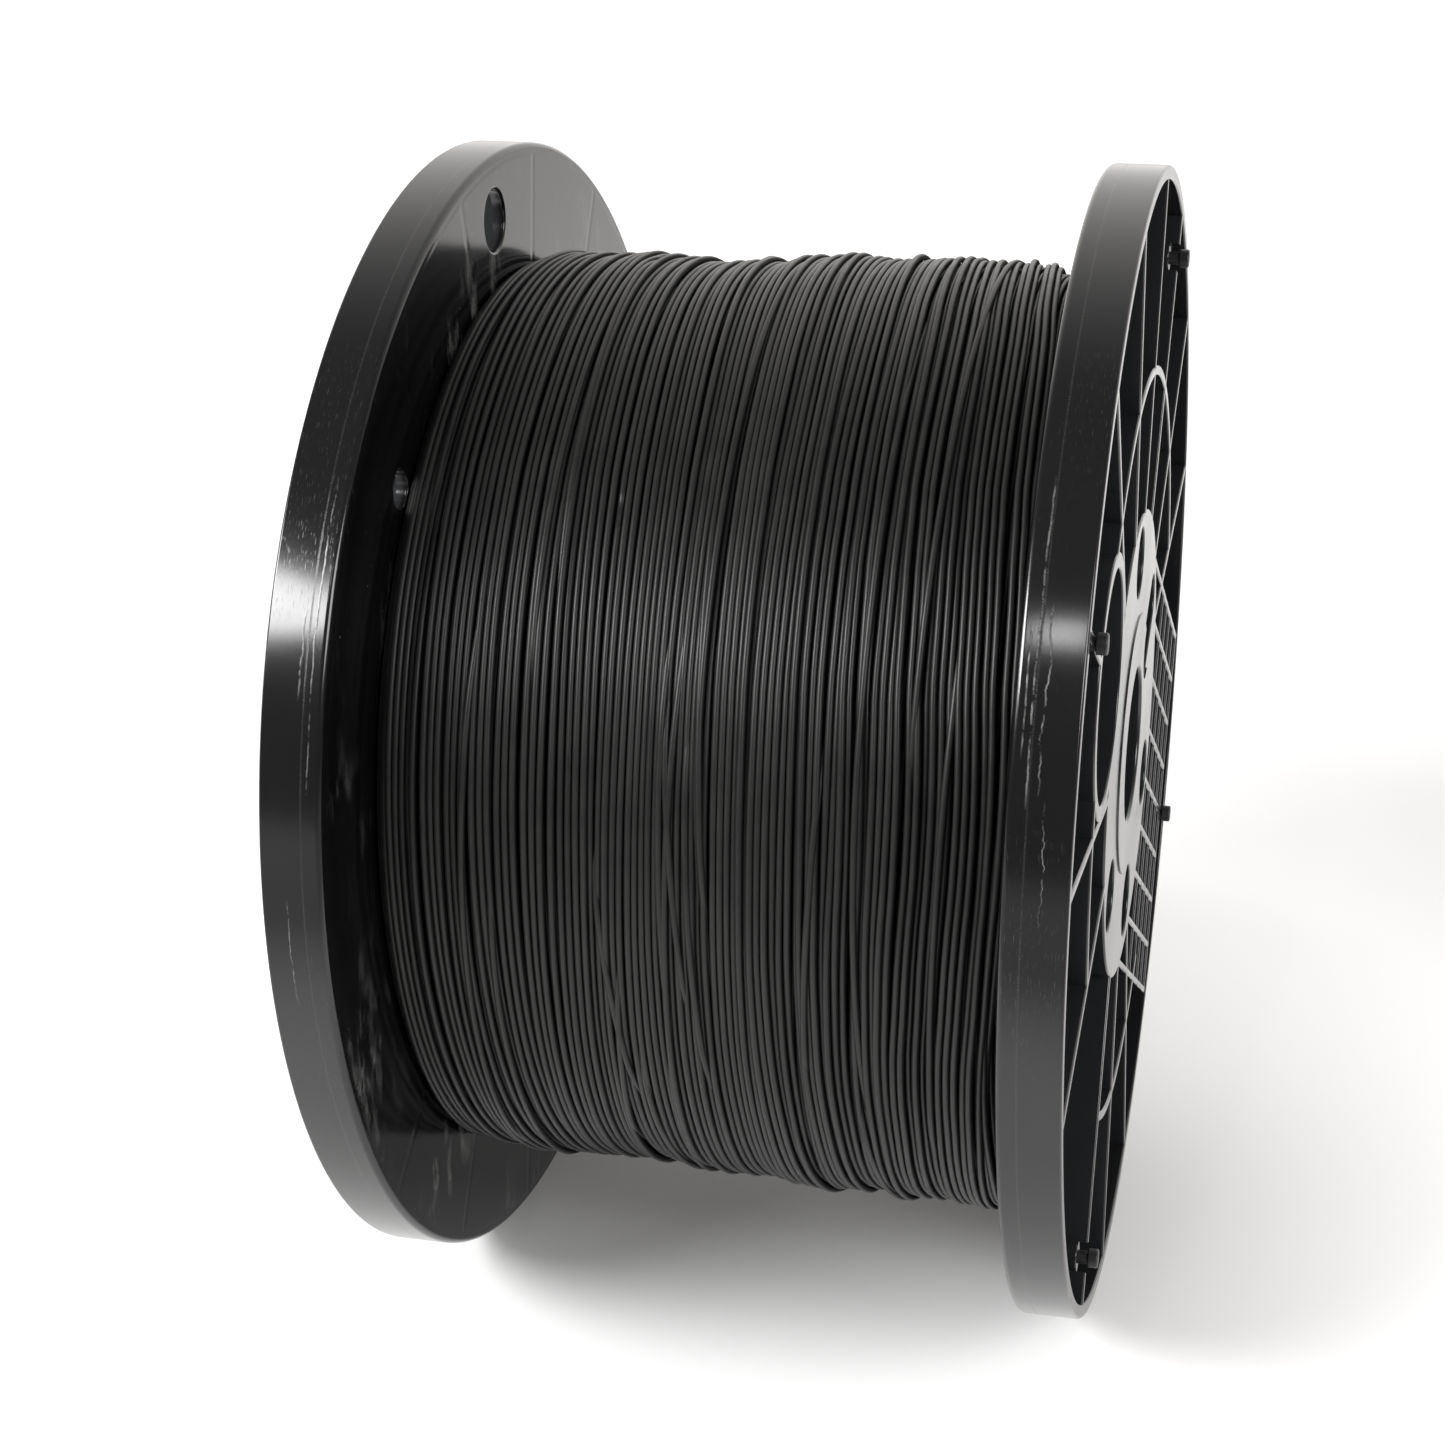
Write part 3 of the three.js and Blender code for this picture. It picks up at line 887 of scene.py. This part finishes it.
def hole_cutters():
    behind_plate = PLATE_X - 2 * MM
    bolt_hole = cylinder(BOLT_HOLE_R, INNER_X, SEAT_X + MM)
    pin_room = cylinder(BOSS_R + 0.05 * MM, BOSS_TOP, RIM_X + MM)
    pin_hole = cylinder(PIN_SHAFT_R + 0.15 * MM, BOSS_TOP - PIN_HOLE_DEPTH, BOSS_TOP + MM)
    drive = round_outline(DRIVE_AT, DRIVE_ANGLE, DRIVE_R)
    slot = slot_outline(SLOT_ANGLE, SLOT_FROM, SLOT_TO, SLOT_HALF)
    cutters = []
    for angle in BOLT_ANGLES:
        seat = round_outline(BOLT_AT, angle, SEAT_R)
        cutters.append(flared_outline_hole("seat_hole", seat, SEAT_X, HUB_X))
        cutters.append(lathe("bolt_hole", bolt_hole, HOLE_SIDES, BOLT_AT, angle))
    cutters.append(flared_outline_hole("drive_hole", drive, behind_plate, HUB_X))
    cutters.append(flared_outline_hole("slot_hole", slot, behind_plate, HUB_X))
    for at, angle, radius in TIE_HOLES:
        cutters.append(lathe("tie_hole", tie_hole_profile(radius), SEAT_SIDES, at, angle))
    for k in range(PIN_COUNT):
        angle = BASE + PIN_STEP * k
        cutters.append(lathe("pin_room", pin_room, PIN_SIDES, PIN_AT, angle))
        cutters.append(lathe("pin_hole", pin_hole, HOLE_SIDES, PIN_AT, angle))
    return cutters


def cylinder(radius, low, high):
    """The outline of a plain cylinder, for lathe."""
    return [(0, low), (radius, low), (radius, high), (0, high)]


def tie_hole_profile(radius, steps=4):
    """A hole through the floor with a rounded edge on the inner face."""
    profile = [(0, INNER_X - 2 * MM), (radius + TIE_EDGE, INNER_X - 2 * MM)]
    for k in range(steps + 1):
        a = math.pi / 2 * k / steps
        profile.append((radius + TIE_EDGE * (1 - math.sin(a)),
                        INNER_X + TIE_EDGE * (1 - math.cos(a))))
    return profile + [(radius, FLOOR_X + 2 * MM), (0, FLOOR_X + 2 * MM)]


def make_flange():
    """The right flange. The round pocket's own wall joins after its inside is cleared."""
    shell = flange_shell()
    combine(shell, [pocket_floor()], "UNION")
    combine(shell, [pocket_cutter()], "DIFFERENCE")
    pocket_wall = rib("pocket_wall", pocket_path(POCKET_R + POCKET_WALL / 2), POCKET_WALL, True)
    first_rib, *other_ribs = radial_ribs() + ring_ribs()
    combine(first_rib, other_ribs + grid_ribs(), "UNION")
    combine(first_rib, [pocket_cutter()], "DIFFERENCE")
    combine(shell, [first_rib, pocket_wall] + bosses(), "UNION")
    combine(shell, hole_cutters(), "DIFFERENCE")
    return shell


def mirror(piece):
    """Flips a piece's mesh from the right side of the spool to the left."""
    piece.data.transform(Matrix.Scale(-1, 4, Vector((1, 0, 0))))
    piece.data.flip_normals()


def add_flanges():
    right = make_flange()
    right.name = "flange_right"
    left = bpy.data.objects.new("flange_left", right.data.copy())
    bpy.context.scene.collection.objects.link(left)
    mirror(left)
    sides = (
        (right, "right_flange", RIGHT_SCRATCHES),
        (left, "left_flange", LEFT_SCRATCHES),
    )
    for piece, node, scratches in sides:
        smooth(piece)
        material = flange_material(f"{node}_plastic", scratches)
        finish_piece(piece, material, "flange_plastic", node)


# ---------------------------------------------------------------- pins, barrel and fasteners

def add_pins(material):
    end = PIN_HIGH.x
    outline = rounded([
        (0, PIN_LOW.x, 0),
        (PIN_SHAFT_R - SKIN, PIN_LOW.x, 0.5 * MM),
        (PIN_SHAFT_R - SKIN, end - PIN_HEAD, 0.2 * MM),
        (PIN_HEAD_R - SKIN, end - PIN_HEAD, 0.25 * MM),
        (PIN_HEAD_R - SKIN, end, 0.45 * MM),
        (0, end, 0),
    ])
    for side in ("right", "left"):
        for k in range(PIN_COUNT):
            pin = lathe(f"pin_{side}_{k + 1}", outline, PIN_SIDES, PIN_AT, BASE + PIN_STEP * k)
            if side == "left":
                mirror(pin)
            smooth(pin)
            finish_piece(pin, material, "pin_plastic", f"{side}_stacking_pin_{k + 1}")


def add_barrel(material):
    outer = BARREL_R - SKIN
    inner = BARREL_R - BARREL_WALL
    edge = 0.4 * MM
    outline = rounded([(inner, -BARREL_HALF, edge), (outer, -BARREL_HALF, edge),
                       (outer, BARREL_HALF, edge), (inner, BARREL_HALF, edge)])
    barrel = lathe("barrel_tube", outline, BARREL_SIDES)
    smooth(barrel)
    finish_piece(barrel, material, "barrel_plastic", "barrel")


def thread(radius, low, high):
    """Outline points of a run of thread crests, from high to low x."""
    points = []
    x = high
    while x - THREAD_PITCH > low:
        points += [(radius, x - THREAD_PITCH * 0.1),
                   (radius - THREAD_DEPTH, x - THREAD_PITCH * 0.5),
                   (radius, x - THREAD_PITCH * 0.9)]
        x -= THREAD_PITCH
    return points


def hexagon(name, low, high):
    """A hexagonal block along X whose corners are chamfered at the high end."""
    corner = FLATS / math.sqrt(3)
    turns = [math.radians(60 * k) for k in range(6)]
    vertices = [(x, corner * math.cos(t), corner * math.sin(t)) for x in (low, high) for t in turns]
    faces = [(k, (k + 1) % 6, 6 + (k + 1) % 6, 6 + k) for k in range(6)]
    faces += [tuple(range(6)), tuple(range(6, 12))]
    block = new_object(name, vertices, faces)
    shoulder = high - HEX_CHAMFER
    end_face = 0.96 * FLATS / 2
    cone = [(0, low - MM), (corner + MM, low - MM), (corner + MM, shoulder),
            (corner + 0.2 * MM, shoulder), (end_face, high), (0, high)]
    combine(block, [lathe("chamfer", cone, WASHER_SIDES)], "INTERSECT")
    return block


def node_axis(node):
    low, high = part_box(node)
    return Vector((0, (low.y + high.y) / 2, (low.z + high.z) / 2))


def tie_bolt_piece(node):
    """A bolt with a dished head, and thread crests where the nut sits."""
    low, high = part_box(node)
    head_x = high.x - HEAD_DEPTH
    head = hexagon("bolt_head", head_x, high.x)
    radius = SHANK_R - SKIN
    tip = 0.6 * MM
    shank = [(0, head_x + MM), (radius, head_x + MM)]
    shank += thread(radius, low.x + tip, low.x + THREAD_LENGTH)
    shank += [(radius - tip, low.x), (0, low.x)]
    combine(head, [lathe("shank", shank, PIN_SIDES)], "UNION")
    dish_floor = high.x - 0.35 * MM
    dish = [(0, dish_floor), (3.1 * MM, dish_floor), (3.5 * MM, high.x + MM), (0, high.x + MM)]
    combine(head, [lathe("dish", dish, SEAT_SIDES)], "DIFFERENCE")
    return head


def tie_nut_piece(node):
    """A nut, made facing right and then turned to face left."""
    low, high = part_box(node)
    inner, outer = -high.x, -low.x
    block = hexagon("nut", inner, outer)
    hole_r = SHANK_R + 0.3 * MM
    hole = [(0, inner - MM), (hole_r, inner - MM), (hole_r, outer - 0.7 * MM),
            (hole_r + 1.1 * MM, outer + 0.4 * MM), (0, outer + 0.4 * MM)]
    combine(block, [lathe("hole", hole, PIN_SIDES)], "DIFFERENCE")
    block.data.transform(Matrix.Rotation(math.pi, 4, "Z"))
    return block


def washer_piece(node):
    low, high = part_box(node)
    outer = (high.z - low.z) / 2 - SKIN
    edge = 0.3 * MM
    outline = rounded([(WASHER_HOLE_R, low.x, edge), (outer, low.x, edge),
                       (outer, high.x, edge), (WASHER_HOLE_R, high.x, edge)])
    return lathe("washer", outline, WASHER_SIDES)


def add_fasteners(material):
    makers = (("tie_bolt", tie_bolt_piece), ("tie_nut", tie_nut_piece),
              ("bolt_washer", washer_piece), ("nut_washer", washer_piece))
    for kind, make in makers:
        for k in (1, 2, 3):
            node = f"{kind}_{k}"
            piece = make(node)
            piece.name = f"{kind}_piece_{k}"
            piece.data.transform(Matrix.Translation(node_axis(node)))
            smooth(piece, 30)
            finish_piece(piece, material, "zinc_steel", node)


# ---------------------------------------------------------------- the wound filament

class Waves:
    """Smooth seeded noise: a sum of sine waves of one or two variables."""

    def __init__(self, count, low, high, cross=0.0):
        self.parts = [(rng.uniform(low, high), rng.uniform(-cross, cross),
                       rng.uniform(0, 2 * math.pi)) for _ in range(count)]
        self.scale = math.sqrt(2 / count)

    def at(self, t, s=0.0):
        total = sum(np.sin(2 * math.pi * (f * t + g * s) + p) for f, g, p in self.parts)
        return total * self.scale


class Lumps:
    """How far the winding stands above its mean radius, by place along and round it."""

    def __init__(self, count):
        self.parts = [(rng.uniform(-70, 70), rng.choice((0, 1, 1, 2, 2, 3)),
                       rng.uniform(0, 2 * math.pi)) for _ in range(count)]

    def at(self, x, turn):
        total = sum(np.sin(2 * math.pi * f * x + m * turn + p) for f, m, p in self.parts)
        return total / math.sqrt(len(self.parts))


LUMPS = Lumps(9)


def ease(share):
    """Turns a share from 0 to 1 into one that starts and ends gently."""
    return share * share * (3 - 2 * share)


def surface_radius(x, turn):
    """Radius of the top strands' centres: lower at the ends and rising to the right."""
    share = (x + WOUND_HALF) / (2 * WOUND_HALF)
    rise = WOUND_RISE * ease(np.clip((share - RISE_FROM) / RISE_OVER, 0, 1))
    lumps = (LUMP + LUMP_GROWTH * share) * LUMPS.at(x, turn)
    from_end = np.minimum(share, 1.15 - share) * 2 * WOUND_HALF  # the right end hardly sinks
    sink = END_DROP * np.exp(-np.maximum(from_end, 0) / END_REACH)
    return WOUND_R + rise + lumps - sink


def tube(name, x, radius, turn, sides):
    """A round strand along points given by x, radius and turn round the axis."""
    roll = 2 * math.pi * np.arange(sides) / sides
    out = radius[:, None] + STRAND / 2 * np.cos(roll)[None, :]
    along = x[:, None] + STRAND / 2 * np.sin(roll)[None, :]
    y = out * np.cos(turn)[:, None]
    z = out * np.sin(turn)[:, None]
    points = np.stack([along, y, z], axis=-1).reshape(-1, 3)
    count = len(x)
    i = np.arange(count - 1)[:, None] * sides
    k = np.arange(sides)[None, :]
    n = (k + 1) % sides
    quads = np.stack([i + k, i + n, i + sides + n, i + sides + k], axis=-1).reshape(-1, 4)
    faces = quads.tolist()
    faces.append(tuple(range(sides)))
    faces.append(tuple(range((count - 1) * sides, count * sides)))
    piece = new_object(name, points.tolist(), faces)
    shade_smooth(piece)
    return piece


def shade_smooth(piece):
    for face in piece.data.polygons:
        face.use_smooth = True


def layer_path(hand, start_turn, openness):
    """Where a layer's strand runs, wound from the left end to the right: x, the turn round
    the axis and the height above the layer. Each turn touches the one before, or leaves a
    gap, and two neighbours at different heights lie closer together."""
    lift = Waves(12, 0.25, 1.7)
    gap = Waves(12, 0.3, 1.8)
    drift = Waves(5, 0.15, 0.5)
    limit = WOUND_HALF - 0.55 * STRAND
    t = np.arange(0, STEPS) / STEPS

    def height(at):
        return LIFT * np.clip(lift.at(at), -1.7, 1.9)

    def pitch(at):
        rise = height(at + 1) - height(at)
        touching = np.sqrt(np.maximum(STRAND ** 2 - rise ** 2, CLOSEST ** 2))
        open_gap = np.maximum(gap.at(at) - openness, 0) * GAP
        return touching + open_gap + SLACK * (1 + drift.at(at))

    rows = [-limit + pitch(np.zeros(1))[0] * t]
    while rows[-1].max() < limit:
        rows.append(rows[-1] + pitch(t + len(rows) - 1))
    x = np.concatenate(rows)
    x = x[x <= limit]
    turns = np.arange(len(x)) / STEPS
    return x, hand * 2 * math.pi * turns + start_turn, height(turns)


def wobble(x, turn, size):
    """Neighbouring strands bend together, as those below guide them."""
    ends = np.clip((WOUND_HALF - np.abs(x)) / STEADY_END, 0, 1)
    waves = (np.sin(turn + 60 * x) + 0.7 * np.sin(2 * turn - 85 * x + 1.3)
             + 0.4 * np.sin(3 * turn + 130 * x + 2.1))
    return x + size * ends * waves


def under_layer(material):
    """The layer below the outer one, wound the other way, in two halves."""
    x, turn, height = layer_path(-1, 1.0, 1.2)
    x = wobble(x, turn, UNDER_WOBBLE)
    radius = surface_radius(x, turn) + 0.5 * height - STRAND
    half = len(x) // 2
    for k, part in enumerate((slice(0, half + 1), slice(half, None))):
        piece = tube(f"filament_under_{k + 1}", x[part], radius[part], turn[part], UNDER_SIDES)
        finish_piece(piece, material, "filament", "filament_winding")


def top_layer(material, parts=3):
    """The outer strand, whose two ends tuck in under their neighbours."""
    x, turn, height = layer_path(1, 4.6, 0.45)
    x = wobble(x, turn, WOBBLE)
    order = np.arange(len(x))
    from_end = np.clip(np.minimum(order, order[::-1]) / 10, 0, 1)
    radius = surface_radius(x, turn) + height - TUCK * (1 - from_end)
    cuts = [round(len(x) * k / parts) for k in range(parts + 1)]
    for k in range(parts):
        part = slice(cuts[k], min(cuts[k + 1] + 1, len(x)))
        piece = tube(f"filament_top_{k + 1}", x[part], radius[part], turn[part], TOP_SIDES)
        finish_piece(piece, material, "filament", "filament_winding")


def crossing_strands(material):
    """Strands that climb over the top layer, cross a few of its strands and sink again."""
    for k in range(CROSSINGS):
        length = rng.uniform(0.7, 2.3)
        middle = rng.uniform(0, 2 * math.pi)
        start = rng.uniform(-0.86, 0.80) * WOUND_HALF
        across = rng.choice((-1, 1)) * rng.uniform(1.8, 6.5) * MM
        count = round(length / (2 * math.pi) * STEPS) + 12
        share = np.linspace(0, 1, count)
        turn = middle + length * (share - 0.5)
        x = wobble(start + across * ease(share), turn, WOBBLE)
        climb = ease(np.clip(np.minimum(share, 1 - share) * 3.5, 0, 1))
        radius = surface_radius(x, turn) - CROSSING_SINK + CROSSING_LIFT * climb
        piece = tube(f"filament_crossing_{k + 1}", x, radius, turn, TOP_SIDES)
        finish_piece(piece, material, "filament", "filament_winding")


def rippled(start, end, count, push):
    """Points of count bumps from start to end, pushed in by the grooves between them."""
    points = []
    steps = count * 6
    for i in range(steps):
        share = i / steps
        groove = CORE_RIPPLE * (1 - abs(math.sin(math.pi * count * share)))
        points.append(tuple(a + (b - a) * share - p * groove for a, b, p in zip(start, end, push)))
    return points


def wound_core(material):
    """The layers below, shown only at the ends and through gaps: a ring with a strand-sized
    ripple on its outside and its two ends."""
    inner = BARREL_R + 0.4 * MM
    half = WOUND_HALF - 0.2 * MM
    layers = round((CORE_R - inner) / (1.52 * MM))
    turns = round(2 * half / (1.8 * MM))
    outline = rippled((inner, -half), (CORE_R, -half), layers, (0, -1))
    outline += rippled((CORE_R, -half), (CORE_R, half), turns, (1, 0))
    outline += rippled((CORE_R, half), (inner, half), layers, (0, 1))
    core = lathe("filament_core", outline, CORE_SIDES)
    shade_smooth(core)
    finish_piece(core, material, "filament", "filament_winding")


# ---------------------------------------------------------------- the whole object

add_camera()
add_studio()

pin_plastic = satin_black("pin_plastic", PIN_BLACK, 0.42)
barrel_plastic = satin_black("barrel_plastic", BARREL_BLACK, 0.48)
filament = filament_material("filament", 1.0)
# a darker copy of the filament, painted shade for the layers below
filament_painted_shade = filament_material("filament_painted_shade", 0.4)
zinc_steel = steel_material()

add_flanges()
add_pins(pin_plastic)
add_barrel(barrel_plastic)
add_fasteners(zinc_steel)
wound_core(filament_painted_shade)
under_layer(filament_painted_shade)
top_layer(filament)
crossing_strands(filament)
